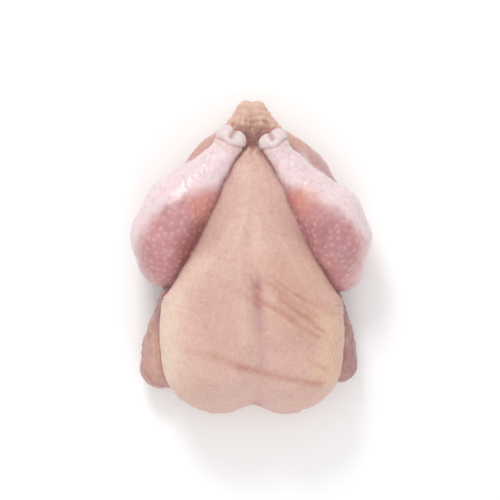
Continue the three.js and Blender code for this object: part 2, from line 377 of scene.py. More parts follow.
# Shader maths: an expression on wrapped sockets adds its Math nodes
class Value:
    def __init__(self, tree, socket):
        self.tree, self.socket = tree, socket

    def math(self, operation, *others):
        return self.tree.node("ShaderNodeMath", dict(operation=operation), [self, *others])

    def __add__(self, other):
        return self.math("ADD", other)

    def __radd__(self, other):
        return self.math("ADD", other)

    def __sub__(self, other):
        return self.math("SUBTRACT", other)

    def __rsub__(self, other):
        return self.tree.node("ShaderNodeMath", dict(operation="SUBTRACT"), [other, self])

    def __mul__(self, other):
        return self.math("MULTIPLY", other)

    def __rmul__(self, other):
        return self.math("MULTIPLY", other)


class Shader:
    """A material under construction."""

    def __init__(self, name):
        self.material = bpy.data.materials.new(name)
        self.material.use_nodes = True
        self.tree = self.material.node_tree
        self.tree.nodes.clear()
        output = self.tree.nodes.new("ShaderNodeOutputMaterial")
        self.surface = output.inputs["Surface"]

    def node(self, kind, settings=None, inputs=(), out=0):
        """A node with its settings, then the values or links of its sockets."""
        made = self.tree.nodes.new(kind)
        for key, value in (settings or {}).items():
            setattr(made, key, value)
        pairs = inputs.items() if isinstance(inputs, dict) else enumerate(inputs)
        for key, value in pairs:
            if isinstance(value, Value):
                self.tree.links.new(value.socket, made.inputs[key])
            else:
                made.inputs[key].default_value = value
        return Value(self, made.outputs[out])

    def attribute(self, name, out="Fac"):
        return self.node("ShaderNodeAttribute", dict(attribute_name=name), out=out)

    def noise(self, place, size):
        """Noise with lumps of the given size in millimetres."""
        inputs = {"Vector": place, "Scale": 1 / (size * MM), "Detail": 3.0}
        return self.node("ShaderNodeTexNoise", None, inputs, out="Fac")

    def step(self, value, low, high):
        inputs = {"Value": value, "From Min": low, "From Max": high}
        return self.node("ShaderNodeMapRange", dict(interpolation_type="SMOOTHSTEP"), inputs, out="Result")

    def mix(self, factor, a, b, blend="MIX"):
        """Colour a where factor is 0, b laid on it where it is 1."""
        settings = dict(data_type="RGBA", blend_type=blend)
        return self.node("ShaderNodeMix", settings, {0: factor, 6: a, 7: b}, out=2)

    def bump(self, height, distance, strength):
        inputs = {"Height": height, "Distance": distance, "Strength": strength}
        return self.node("ShaderNodeBump", None, inputs, out="Normal")

    def finish(self, **inputs):
        inputs = {key.replace("_", " "): value for key, value in inputs.items()}
        shader = self.node("ShaderNodeBsdfPrincipled", None, inputs)
        self.tree.links.new(shader.socket, self.surface)
        return self.material


# Masks along lines, round spots and between limits
def hump(gap, width):
    """1 where the gap is nothing, falling off smoothly on both sides."""
    return np.exp(-((gap / width) ** 2))


def gap_to_line(points, line):
    """Distance in plan from a run of plan points."""
    gap = np.full(len(points), np.inf)
    for a, b in zip(line, line[1:]):
        gap = np.minimum(gap, taper(points[:, :2], (*a, 0), (*b, 0)))
    return gap


def near_line(points, line, width):
    """1 on a run of plan points, falling off over the width."""
    return hump(gap_to_line(points, line), width)


def near_spot(points, centre, radius):
    away = points[:, : len(centre)] - np.array(centre)
    return np.exp(-((away / radius) ** 2).sum(1))


def within(value, low, high, soft):
    """1 between the two limits, with soft ends."""
    return eased((value - low) / soft + 0.5) * eased((high - value) / soft + 0.5)


def scattered(points, spacing, seed):
    """Points of the skin at least a spacing apart, drawn in a seeded order."""
    order = np.random.default_rng(seed).permutation(len(points))
    kept = {}
    for i in order:
        cell = tuple((points[i] // spacing).astype(int))
        around = (kept.get((cell[0] + a, cell[1] + b, cell[2] + c), ())
                  for a in (-1, 0, 1) for b in (-1, 0, 1) for c in (-1, 0, 1))
        if all(((points[i] - q) ** 2).sum() >= spacing**2 for near in around for q in near):
            kept.setdefault(cell, []).append(points[i])
    return [q for near in kept.values() for q in near]


def gap_to_nearest(points, spots):
    tree = kdtree.KDTree(len(spots))
    for i, spot in enumerate(spots):
        tree.insert(spot, i)
    tree.balance()
    return np.array([tree.find(p)[2] for p in points])


# Zones of the skin, in millimetres. The red flesh that shows through the thin skin of each leg
# is given as plan circles
RED_FLESH = dict(
    left=[(-24, 33, 24), (-39, 26, 26), (-55, 12, 22)],
    right=[(23, 33, 24), (38, 23, 25), (51, 15, 23), (52, 2, 19)],
)
ZONE_EDGES = dict(leg=(2, 4), drum=(4, 9), arm=(1, 2), breast=(4, 4))  # head start, fade
FLESH = dict(patchy=1.6, fade=13, edge=1, edge_width=5, low=20, uneven=3, rise=12)
HOCK = dict(
    start=-3.6, uneven=1.2, fade=1.2, edge=-1.6, edge_width=1.3, ring=0.6, ring_width=0.9,
    groove_start=3, groove_fade=3, groove_width=1.7,
)
CREASE_WIDTHS = dict(crease=1.6, cleft_shade=1.1, shade=13, wing_fold=1.5)
BREAST_RIM = dict(width=15, fade=13)
QUILLS = dict(height=14, sway=2, width=2.2, start=-62, end=-18, fade=6, spacing=6.2)
VENT_SKIN = dict(reach=5, start=78, end=100, fade=4)
VENT_RIM = dict(gap=4, width=5, start=76, end=106, fade=6)
NECK_FLAP = dict(
    x=2, half_width=13, spread=0.5, uneven=2.2, fade=1.8, edge=1.2, edge_width=1.3,
    start=-72, start_fade=6, low=5, high=40, high_fade=10,
)
TAIL_SKIN = dict(start=90, start_fade=10, high=36, high_fade=6)


def zone(lead, name):
    """A mask of the points where one part lies nearer than the others, by the lead."""
    start, fade = ZONE_EDGES[name]
    return eased((lead + start) / fade)


def skin_zones(points):
    """Masks from 0 to 1 that say what kind of skin each point has."""
    shank, to_thigh, to_wing, to_torso = drumstick(points), thigh(points), wing(points), torso(points)
    to_leg = soft_min(shank, to_thigh, BLEND["hip"])
    leg = zone(to_torso - to_leg, "leg")
    drum = zone(np.minimum(to_torso, to_thigh) - shank, "drum")
    arm = zone(np.minimum(to_torso, to_leg) - to_wing, "arm")
    on_breast = zone(-breast(points), "breast") * (1 - leg) * (1 - arm)
    second = np.sort(np.column_stack([shank, to_wing, to_torso]), axis=1)[:, 1]
    valley = np.maximum(second, 0)
    zones = dict(leg=leg, drum=drum, arm=arm, breast=on_breast)
    zones["crease"] = np.exp(-valley / CREASE_WIDTHS["crease"])
    zones["cleft_shade"] = hump(valley, CREASE_WIDTHS["cleft_shade"])
    zones["shade"] = np.exp(-((valley / CREASE_WIDTHS["shade"]) ** 1.5)) * drum
    zones["rim"] = eased((breast_plan(points) + BREAST_RIM["width"]) / BREAST_RIM["fade"]) * on_breast
    zones.update(wing_zones(points, arm))
    zones.update(flesh_zones(points, leg))
    zones.update(hock_zones(points, leg))
    zones.update(vent_zones(points, leg))
    zones.update(end_zones(points, zones["hock"]))
    return zones


def wing_zones(points, arm):
    """The fold between arm and hand, and the row of quill ends."""
    y, z = points[:, 1], points[:, 2]
    q = QUILLS
    row = hump(z - q["height"] - q["sway"] * noise_field(points, 20, draw=17), q["width"])
    row = row * within(y, q["start"], q["end"], q["fade"])
    ends = np.maximum(np.sin(TURN * y / q["spacing"]), 0) ** 3
    return dict(seam=hump(wing_seam(points), CREASE_WIDTHS["wing_fold"]) * arm, quill=row * ends * arm)


def flesh_zones(points, leg):
    """The red flesh of each leg, and the pale band at its edge."""
    flesh = by_side(points, lambda p, side: limb(p[:, :2], RED_FLESH[side], BLEND["limb"]))
    flesh = flesh + FLESH["patchy"] * noise_field(points, 10, octaves=3)
    low = FLESH["low"] + FLESH["uneven"] * noise_field(points, 9, draw=8)
    on_top = eased((points[:, 2] - low) / FLESH["rise"]) * leg
    edge = hump(flesh - FLESH["edge"], FLESH["edge_width"]) * on_top
    return dict(flesh=eased(0.5 - flesh / FLESH["fade"]) * on_top, flesh_edge=edge)


def hock_zones(points, leg):
    """The bare joint at the end of each leg: its skin edge, the ring under it and the groove."""
    h = HOCK
    past = hock_place(points, 0) - h["start"] + h["uneven"] * noise_field(points, 6, draw=5)
    groove = hump(hock_place(points, 1), h["groove_width"])
    groove = groove * eased((past - h["groove_start"]) / h["groove_fade"])
    return dict(
        hock=eased(past / h["fade"] + 0.5) * leg,
        hock_edge=hump(past - h["edge"], h["edge_width"]) * leg,
        hock_ring=hump(past - h["ring"], h["ring_width"]) * leg,
        hock_groove=groove * leg,
    )


def vent_zones(points, leg):
    """The opening and the gathered skin round it."""
    y = points[:, 1]
    to_vent = ellipsoid(points, VENT["centre"], VENT["radii"])
    inside, rim = VENT_SKIN, VENT_RIM
    vent = eased(1 - to_vent / inside["reach"]) * within(y, inside["start"], inside["end"], inside["fade"])
    vent_rim = hump(to_vent - rim["gap"], rim["width"]) * within(y, rim["start"], rim["end"], rim["fade"])
    return dict(vent=vent, vent_rim=vent_rim * (1 - leg))


def end_zones(points, hock):
    """The flap of neck skin with its edge, and the tail."""
    x, y, z = points.T
    f, t = NECK_FLAP, TAIL_SKIN
    spread = np.abs(x - f["x"]) - f["half_width"] - f["spread"] * z
    spread = spread + f["uneven"] * noise_field(points, 12, draw=70)
    at_neck = eased((f["start"] - y) / f["start_fade"]) * within(z, f["low"], f["high"], f["high_fade"])
    tail = eased((y - t["start"]) / t["start_fade"]) * (1 - hock) * eased((t["high"] - z) / t["high_fade"])
    return dict(
        flap=eased(0.5 - spread / f["fade"]) * at_neck,
        flap_edge=hump(spread - f["edge"], f["edge_width"]) * at_neck,
        tail=tail,
    )


def hock_place(points, part):
    """How far each point lies past the middle of its hock, along the bone (0) or across it (1)."""
    def measured(p, side):
        a, b = (np.array(ball[:3]) for ball in KNUCKLE[side])
        along = (a + b) / 2 - np.array(DRUMSTICK[side][-2][:3])
        axis = (along, b - a)[part]
        return (p - (a + b) / 2) @ (axis / np.linalg.norm(axis))
    return by_side(points, measured)


def wing_seam(points):
    """How far each point is from the fold between the arm and the tucked hand of its wing."""
    def gap(p, side):
        fore = np.minimum(taper(p, *FOREARM[side]), taper(p, *WRIST[side]))
        return np.maximum(fore, limb(p, HAND[side], BLEND["limb"]))
    return np.maximum(by_side(points, gap), 0)


# Relief of the skin, in millimetres. Shallow lines pressed into the breast: plan points, half
# width and depth
PRESS_CREASES = [
    dict(line=[(-8, -61.4), (3.3, -64.4), (14, -67.2), (26, -70), (38, -72.2), (45, -73)],
         width=2.2, depth=0.38),
    dict(line=[(-26, -54.6), (-18, -57.4), (-8, -61.4)], width=2.2, depth=0.26),
    dict(line=[(-44, -51), (-34, -52.6), (-26, -54.6)], width=2, depth=0.12),
    dict(line=[(7, -19), (18.6, -25), (28.5, -32), (37, -37.5), (44, -41.5)], width=1.5, depth=0.4),
    dict(line=[(18.6, -14.7), (30, -21), (40, -28)], width=2, depth=0.22),
    dict(line=[(30, -13.5), (43, -20), (54, -27.5)], width=2, depth=0.16),
    dict(line=[(12, -31), (26, -39), (38, -48)], width=3, depth=0.1),
    dict(line=[(-20, -6.5), (-8, -12), (2, -18)], width=2.2, depth=0.15),
    dict(line=[(38, -57), (50, -64)], width=1.6, depth=0.2),
]
# The lip beside a pressed line, as shares of the line's depth and width
PRESS_LIP = dict(height=0.35, away=2.4, width=1.2)
KEEL_LINE = [(1.5, 0), (3, -8), (3.6, -20), (4.6, -40), (4.4, -62)]
KEEL_LINE_WIDTH = 2.6
CORNER_PLEATS = [((-60, -17), 6), ((61, -20), 7)]
STREAKS = dict(line=[(15, -13), (46, -32)], width=12, along=(0.85, -0.527), length=45, spacing=3.8)

# Fine parallel folds of the skin: where they lie and how high up, the direction across them
# and their spacing
PLEATS = [
    dict(line=[(54, -36), (53, -50), (46, -66)], width=6.5, low=52, strength=1,
         across=(0.9, -0.44, 0), spacing=2),
    dict(line=[(60, -15), (61, -25)], width=4.5, low=47, strength=1, across=(0.25, 0.97, 0), spacing=2.7),
    dict(line=[(-60, -13), (-60, -23)], width=4.5, low=47, strength=0.8,
         across=(-0.3, 0.95, 0), spacing=2.9),
    dict(line=[(-57, -30), (-58, -60)], width=6, low=50, strength=0.3, across=(0.9, 0.43, 0), spacing=3),
    dict(line=[(70, 38), (75, 26)], width=6, low=30, strength=0.4, across=(0.9, 0.3, 0.3), spacing=2.6),
]
PLEAT_SWAY = 2.6
PLEAT_FADE = 9
GOOSE_BUMP = dict(spacing=4.0, width=1.15, seed=11, clear=1.5, clear_fade=0.8)
# How far each kind of relief stands out or lies in
RELIEF = dict(
    lumps=0.35, leg_lumps=0.45, arm_lumps=0.5,
    crinkle=0.08, leg_crinkle=0.14, arm_crinkle=0.3, rim_crinkle=0.15,
    keel_line=0.6, corner_pleats=0.8, streaks=0.35,
    flap=0.9, flap_edge=0.6, flap_folds=0.4, hock_edge=0.6, hock_ring=0.6, hock_groove=1.5,
    vent_gathers=0.7, tail_rings=0.35, wing_wrinkles=1.1, hip_wrinkles=0.5, wing_seam=1.2, quills=0.8,
    bump=0.05, leg_bump=0.26, arm_bump=0.3, tail_bump=0.35,
)
FLAP_FOLD = dict(spacing=9.5, sag=0.014, sway=2.4)
TAIL_RING = dict(spacing=4.5, sway=4)
VENT_GATHERS = dict(below=6, folds=15, sway=3)
HIP_WRINKLES = dict(start=50, fade=16)
WRINKLE_WIDTH = 0.12  # how near to nothing the noise has to be for a wrinkle
BREAST_TOP = dict(start=45, fade=12)
FOOT_HEIGHT = 0.5  # the skin below this is pressed flat


def pleated(points):
    """The turn of the folds at each point, and how far they stand out."""
    sway = PLEAT_SWAY * noise_field(points, 11, octaves=2, draw=7)
    turn, strength = np.zeros(len(points)), np.zeros(len(points))
    for fold in PLEATS:
        here = fold["strength"] * near_line(points, fold["line"], fold["width"])
        here = here * eased((points[:, 2] - fold["low"]) / PLEAT_FADE + 0.5)
        mine = TURN * (points @ np.array(fold["across"])) / fold["spacing"] + sway
        turn = np.where(here > strength, mine, turn)
        strength = np.maximum(strength, here)
    return turn, strength * eased(0.4 + 1.8 * noise_field(points, 5, octaves=2, draw=31))


def streaks(points):
    """Soft parallel bands across the breast, from -1 to 1."""
    a, b = STREAKS["along"]
    run = points[:, 0] * a + points[:, 1] * b
    across = points[:, 0] * -b + points[:, 1] * a
    drawn = np.column_stack([run / STREAKS["length"], across / STREAKS["spacing"], np.zeros(len(run))])
    return noise_field(drawn, 1, octaves=2)


def breast_relief(points, zones, turn, banded):
    """Pressed lines with their lips, the line of the keel, the corner pleats and the streaks."""
    on_breast = zones["breast"]
    on_top = on_breast * eased((points[:, 2] - BREAST_TOP["start"]) / BREAST_TOP["fade"])
    rise = np.zeros(len(points))
    for crease in PRESS_CREASES:
        gap, width = gap_to_line(points, crease["line"]), crease["width"]
        lip = hump(gap - PRESS_LIP["away"] * width, PRESS_LIP["width"] * width)
        rise = rise + crease["depth"] * (PRESS_LIP["height"] * lip - hump(gap, width)) * on_top
    rise = rise - RELIEF["keel_line"] * near_line(points, KEEL_LINE, KEEL_LINE_WIDTH) * on_breast
    corner = np.maximum(*(near_spot(points, place, width) for place, width in CORNER_PLEATS)) * on_breast
    rise = rise + RELIEF["corner_pleats"] * corner * np.sin(turn)
    return rise - RELIEF["streaks"] * np.maximum(banded, 0)


def flap_relief(points, zones, crinkle):
    """The hanging flap of neck skin and its folds."""
    x, y, z = points.T
    rise = RELIEF["flap"] * zones["flap"]
    rise = rise - RELIEF["flap_edge"] * zones["flap_edge"] * eased(0.7 + crinkle)
    hang = TURN * (z + FLAP_FOLD["sag"] * (x - NECK_FLAP["x"]) ** 2) / FLAP_FOLD["spacing"]
    hang = hang + FLAP_FOLD["sway"] * noise_field(points, 16, draw=12)
    broken = eased(0.7 + 1.5 * noise_field(points, 12, draw=13))
    return rise + RELIEF["flap_folds"] * zones["flap"] * np.sin(hang) * broken


def end_relief(points, zones, gathered):
    """The hock ends, the gathers round the vent and the rings of the tail."""
    r = RELIEF
    rise = r["hock_edge"] * zones["hock_edge"] - r["hock_ring"] * zones["hock_ring"]
    rise = rise - r["hock_groove"] * zones["hock_groove"]
    rise = rise + r["vent_gathers"] * zones["vent_rim"] * np.sin(gathered)
    rings = TURN * points[:, 1] / TAIL_RING["spacing"] + TAIL_RING["sway"] * noise_field(points, 9, draw=3)
    return rise + r["tail_rings"] * zones["tail"] * np.sin(rings)


def fold_relief(points, zones):
    """Wrinkles of the wings and hips, the fold of each wing and its quill ends."""
    wrinkles = noise_field(points, 7, octaves=2, draw=44, stretch=(1, 3, 1))
    on_hip = zones["leg"] * (1 - zones["drum"]) + 1 - zones["breast"]
    h = HIP_WRINKLES
    on_hip = on_hip * eased((points[:, 1] - h["start"]) / h["fade"]) * (1 - zones["tail"])
    depth = RELIEF["wing_wrinkles"] * zones["arm"] + RELIEF["hip_wrinkles"] * np.clip(on_hip, 0, 1)
    rise = -depth * np.maximum(WRINKLE_WIDTH - np.abs(wrinkles), 0) / WRINKLE_WIDTH
    return rise - RELIEF["wing_seam"] * zones["seam"] + RELIEF["quills"] * zones["quill"]


def goose_bumps(points, zones):
    """Follicles: the distance to the nearest, a mask that is 1 on each, and how far each stands out."""
    gap = gap_to_nearest(points, scattered(points, GOOSE_BUMP["spacing"], GOOSE_BUMP["seed"]))
    bumps = hump(gap, GOOSE_BUMP["width"]) * eased(0.7 + 1.5 * noise_field(points, 5, draw=60))
    size = RELIEF["bump"] + RELIEF["leg_bump"] * zones["leg"] * (0.35 + 0.65 * zones["flesh"])
    size = size + RELIEF["arm_bump"] * zones["arm"] + RELIEF["tail_bump"] * zones["tail"]
    return gap, bumps, size * (1 - zones["hock"]) * (1 - zones["crease"])


def shape_details(obj):
    """Lumps, wrinkles, pleats, creases and goose bumps, moved into the mesh along its normals."""
    points, normals = get_points(obj.data), get_normals(obj.data)
    zones = skin_zones(points)
    x, y, z = points.T
    leg, arm = zones["leg"], zones["arm"]
    lumps = noise_field(points, 26, octaves=3)
    crinkle = noise_field(points, 5, octaves=3, draw=50)
    turn, pleat = pleated(points)
    banded = streaks(points) * near_line(points, STREAKS["line"], STREAKS["width"]) * zones["breast"]
    g = VENT_GATHERS
    gathered = np.arctan2(z - VENT["centre"][2] + g["below"], x) * g["folds"] + g["sway"] * crinkle
    follicle, bumps, bump_size = goose_bumps(points, zones)
    zones["between"] = eased((follicle - GOOSE_BUMP["clear"]) / GOOSE_BUMP["clear_fade"])
    r = RELIEF
    rise = lumps * (r["lumps"] + r["leg_lumps"] * leg + r["arm_lumps"] * arm)
    rise = rise + crinkle * (
        r["crinkle"] + r["leg_crinkle"] * leg + r["arm_crinkle"] * arm + r["rim_crinkle"] * zones["rim"]
    )
    rise = rise + breast_relief(points, zones, turn, banded) + flap_relief(points, zones, crinkle)
    rise = rise + end_relief(points, zones, gathered) + fold_relief(points, zones) + bumps * bump_size
    rise = np.where(z < FOOT_HEIGHT, 0, rise)
    set_points(obj.data, points + normals * rise[:, None])
    add_colours(obj.data, "tint", painted(points, zones, bumps, banded, gathered))
    add_attribute(obj.data, "follicle", follicle)
    add_attribute(obj.data, "goose", 0.2 + 0.8 * np.clip(leg + arm, 0, 1) * (1 - zones["hock"]))
    add_attribute(obj.data, "turn", turn)
    add_attribute(obj.data, "pleat", pleat)
    add_attribute(obj.data, "wet", np.clip(0.2 + 0.6 * leg + 0.25 * arm, 0, 1))


# Colours of the skin, as screen colours from 0 to 255, among them painted shade, painted light, painted
# glints and a painted sheen
TONES = SimpleNamespace(
    skin=(221, 184, 172), skin_light=(228, 194, 178), skin_dark=(206, 162, 154), low_body=(214, 172, 162),
    press_shade=(194, 138, 120), streak_shade=(190, 138, 116), streak_highlight=(232, 194, 170),
    neck_end_shade=(214, 170, 166), keel_end=(190, 132, 128),
    flap=(226, 190, 170), flap_edge=(176, 116, 106), flap_blotch=(200, 150, 138),
    leg=(243, 221, 226), leg_light=(248, 230, 227), leg_blotch=(230, 196, 202), leg_side=(230, 194, 188),
    leg_low=(214, 172, 166), leg_end_light=(232, 188, 190), leg_shade=(140, 72, 70),
    leg_outer=(218, 158, 162), right_leg_light=(240, 184, 182), leg_orange=(226, 152, 134),
    hip=(212, 164, 150), hip_blotch=(190, 136, 134), hip_shade=(150, 104, 118),
    flesh=(208, 155, 157), flesh_dark=(184, 122, 124), flesh_light=(224, 180, 176),
    flesh_band=(172, 118, 126), flesh_between=(184, 124, 126), flesh_bump=(240, 202, 198),
    flesh_edge_glint=(255, 244, 242),
    wing=(203, 160, 155), wing_shade=(150, 108, 126), wing_warm=(212, 176, 150),
    wing_blotch=(188, 140, 142), wrist=(232, 190, 168), elbow_shade=(160, 118, 132), wing_fold=(150, 98, 98),
    quill=(224, 190, 172), bump=(240, 216, 204), fleck=(180, 128, 118),
    tail=(230, 196, 176), tail_bump=(206, 160, 132), vent=(132, 66, 62), vent_fold_shade=(186, 130, 118),
    hock_edge=(236, 204, 188), hock=(232, 218, 216), hock_ring=(196, 138, 132), hock_groove=(186, 116, 112),
    crease=(150, 80, 76), cleft_shade=(108, 40, 40),
)
# Patches of colour on the breast: plan line, half width, strength, screen colour
BREAST_PATCHES = [
    dict(line=[(-57, -16), (-57, -66)], width=15, strength=0.95, tone=(245, 219, 201)),
    dict(line=[(-54, -14), (-44, -4), (-36, 8)], width=8, strength=0.6, tone=(246, 220, 204)),
    dict(line=[(52, -14), (44, -4), (38, 6)], width=7, strength=0.5, tone=(234, 196, 178)),
    dict(line=[(-12, -79), (16, -77)], width=9, strength=0.5, tone=(224, 190, 184)),
    dict(line=[(-30, -20), (-22, -42)], width=16, strength=0.35, tone=(212, 168, 152)),
    dict(line=[(-40, -38), (-38, -60)], width=10, strength=0.4, tone=(226, 190, 178)),
    dict(line=[(20, 0), (36, -24)], width=14, strength=0.55, tone=(212, 166, 146)),
    dict(line=[(52, -32), (49, -66)], width=8, strength=0.7, tone=(238, 204, 174)),
    dict(line=[(20, -20), (31, -28)], width=4.5, strength=0.5, tone=(184, 134, 122)),
    dict(line=[(14, -45), (36, -45)], width=8, strength=0.45, tone=(206, 162, 152)),
    dict(line=[(36, -50), (20, -80)], width=12, strength=0.3, tone=(221, 183, 170)),
    dict(line=[(-32, -82), (-10, -76)], width=12, strength=0.35, tone=(220, 186, 176)),
    dict(line=[(3, -4), (3.8, -34)], width=4.8, strength=0.65, tone=(196, 154, 150)),
    dict(line=[(4, -34), (4.4, -64)], width=4.2, strength=0.5, tone=(204, 166, 164)),
    dict(line=[(3, -8), (3.6, -21)], width=3, strength=0.7, tone=(178, 120, 116)),
    dict(line=[(-4, -12), (-4, -44)], width=4, strength=0.5, tone=(232, 200, 188)),
]
KEEL_END = dict(centre=(2.5, -90), radius=5.5)
# Painted shade over the darker flesh on each leg beside the breast edge, where the leg turns down into the
# crease: plan line, half width, strength
LEG_SHADES = [
    ([(-27, 40), (-32, 28), (-42, 11), (-47, 2)], 7, 0.7),
    ([(-37, 32), (-42, 24), (-46, 16)], 6, 0.6),
    ([(36, 30), (47, 12)], 4, 0.15),
]
FLESH_BAND = dict(line=[(48, 28), (59, 17)], width=9)
LEG_OUTER = dict(line=[(-66, 28), (-66, 14), (-56, 4)], width=9)
# Painted light low inside the right leg: plan line and half width
RIGHT_LEG_LIGHT = dict(line=[(51, 6), (57, -9)], width=6)
ORANGE_SPOTS = [(-33, 46), (34, 49)]
ORANGE_RADIUS = 9
WRIST_X = (-61, 57)


def screen(red, green, blue):
    """Screen colour from 0 to 255, as linear light."""
    c = np.array([red, green, blue]) / 255
    return np.where(c <= 0.04045, c / 12.92, ((c + 0.055) / 1.055) ** 2.4)


class Paint:
    """Colour of the skin at each point, laid tone over tone, with the noises that break it up."""

    def __init__(self, points, tone):
        self.colours = np.tile(screen(*tone), (len(points), 1))
        self.cloud = noise_field(points, 24, octaves=3)
        self.mottle = noise_field(points, 6.5, octaves=3, draw=20)
        self.fleck = noise_field(points, 2.6, octaves=2, draw=90)

    def lay(self, mask, tone):
        amount = np.clip(mask, 0, 1)[:, None]
        self.colours = self.colours * (1 - amount) + screen(*tone) * amount


def paint_body(paint, points, zones, banded):
    """The breast with its patches, pressed lines and streaks, the sides and the neck skin. Painted shade
    lies in the pressed lines, in the grooves of the streaks, along the flap's edge and at the neck end,
    with a painted highlight between the streaks.
    """
    lay, mottle = paint.lay, paint.mottle
    on_breast, y, z = zones["breast"], points[:, 1], points[:, 2]
    lay(0.5 * eased(paint.cloud * 1.2 + 0.3), TONES.skin_light)
    lay(0.4 * eased(-mottle * 1.2 - 0.1), TONES.skin_dark)
    for patch in BREAST_PATCHES:
        mask = near_line(points, patch["line"], patch["width"]) * on_breast
        lay(patch["strength"] * mask * (1 + 0.25 * mottle), patch["tone"])
    # Painted shade in the pressed lines, darker where a line lies deeper
    for crease in PRESS_CREASES:
        mask = near_line(points, crease["line"], crease["width"] * 1.25) * on_breast
        lay(min(1.5 * crease["depth"], 0.55) * mask * (1 + 0.4 * mottle), TONES.press_shade)
    # Painted shade in the grooves of the streaks, and a painted highlight on the skin between them
    lay(0.55 * eased(banded * 2), TONES.streak_shade)
    lay(0.35 * eased(-banded * 2), TONES.streak_highlight)
    # Painted shade, darker towards the neck end where the breast turns down
    lay(0.3 * eased((-86 - y) / 8) * on_breast, TONES.neck_end_shade)
    lay(0.6 * near_spot(points, **KEEL_END), TONES.keel_end)
    lay(0.4 * zones["flap"], TONES.flap)
    # Painted shade along the tucked edge of the neck flap
    lay(0.32 * zones["flap_edge"], TONES.flap_edge)
    lay(0.25 * zones["flap"] * eased(mottle), TONES.flap_blotch)
    lay(0.5 * eased((30 - z) / 14) * (1 - zones["leg"]) * (1 - zones["arm"]), TONES.low_body)


def paint_legs(paint, points, zones):
    """Pale thin skin lightened as a painted sheen, the hips with painted shade on the right one, the red
    flesh that shows through on top, painted shade beside the creases, and painted light at the thick ends
    and low inside the right leg.
    """
    lay, cloud, mottle, fleck = paint.lay, paint.cloud, paint.mottle, paint.fleck
    x, y, z = points.T
    leg, flesh = zones["leg"], zones["flesh"]
    # The legs' pale skin, whitened and tinted lavender as a painted sheen
    lay(leg, TONES.leg)
    lay(0.5 * leg * eased(cloud + 0.4), TONES.leg_light)
    lay(0.3 * leg * eased(mottle * 1.3), TONES.leg_blotch)
    lay(0.5 * leg * eased((46 - z) / 30), TONES.leg_side)
    lay(0.6 * leg * eased((24 - z) / 16), TONES.leg_low)
    beside_tail = 0.7 * eased((y - 62) / 14) * eased((np.abs(x) - 18) / 10) * (1 - leg)
    hip = np.clip(leg * (1 - zones["drum"]) * eased((y - 36) / 24) + beside_tail, 0, 1)
    lay(0.8 * hip, TONES.hip)
    lay(0.35 * hip * eased((z - 22) / 16) * eased(0.5 + mottle), TONES.hip_blotch)
    on_right = eased((x - 24) / 34) * eased((y - 40) / 34) * eased((z - 20) / 24)
    lay(0.4 * hip * on_right, TONES.hip_shade)
    # Painted glints along the edge of the red flesh
    lay(0.85 * zones["flesh_edge"] * eased(fleck * 2.4 - 0.1), TONES.flesh_edge_glint)
    lay(flesh, TONES.flesh)
    lay(0.6 * flesh * eased(mottle * 1.8 + 0.1), TONES.flesh_dark)
    lay(0.35 * flesh * eased(fleck * 2), TONES.flesh_light)
    # Painted light at the thick ends of the legs, lifting the shade there, less beside the creases
    lay(0.35 * leg * eased((8 - y) / 12) * (1 - 0.5 * zones["shade"]), TONES.leg_end_light)
    # Painted shade on each leg beside the breast edge
    for line, width, strength in LEG_SHADES:
        lay(strength * near_line(points, line, width) * zones["drum"], TONES.leg_shade)
    lay(0.55 * near_line(points, **FLESH_BAND) * flesh, TONES.flesh_band)
    lay(0.5 * near_line(points, **LEG_OUTER) * leg * eased((z - 22) / 10), TONES.leg_outer)
    lay(0.22 * flesh * zones["between"], TONES.flesh_between)
    # Painted light low inside the right leg, lifting the shade there
    lay(0.5 * near_line(points, **RIGHT_LEG_LIGHT) * leg, TONES.right_leg_light)
    for centre in ORANGE_SPOTS:
        lay(0.7 * near_spot(points, centre, ORANGE_RADIUS) * leg * (1 + 0.5 * mottle), TONES.leg_orange)


def paint_wings(paint, points, zones):
    """The folded wings, with their wrists, main folds and quill ends, painted shade on the right wing,
    where each wing tucks under the breast's edge and in the fold between arm and hand.
    """
    lay, cloud, mottle = paint.lay, paint.cloud, paint.mottle
    arm = zones["arm"]
    lay(0.9 * arm, TONES.wing)
    lay(0.5 * arm * eased(points[:, 0] / 10), TONES.wing_shade)
    lay(0.5 * arm * eased(cloud + 0.3), TONES.wing_warm)
    for x in WRIST_X:
        lay(0.6 * arm * near_line(points, [(x, -38), (x, -62)], 8) * (1 + 0.6 * mottle), TONES.wrist)
        # Painted shade, tinted purple, where each wing tucks under the breast's edge
        lay(0.5 * arm * near_line(points, [(x, -18), (x, -30)], 9), TONES.elbow_shade)
    lay(0.45 * arm * eased(mottle * 1.4), TONES.wing_blotch)
    # Painted shade in the fold between arm and hand
    lay(0.45 * zones["seam"], TONES.wing_fold)
    lay(0.5 * zones["quill"], TONES.quill)


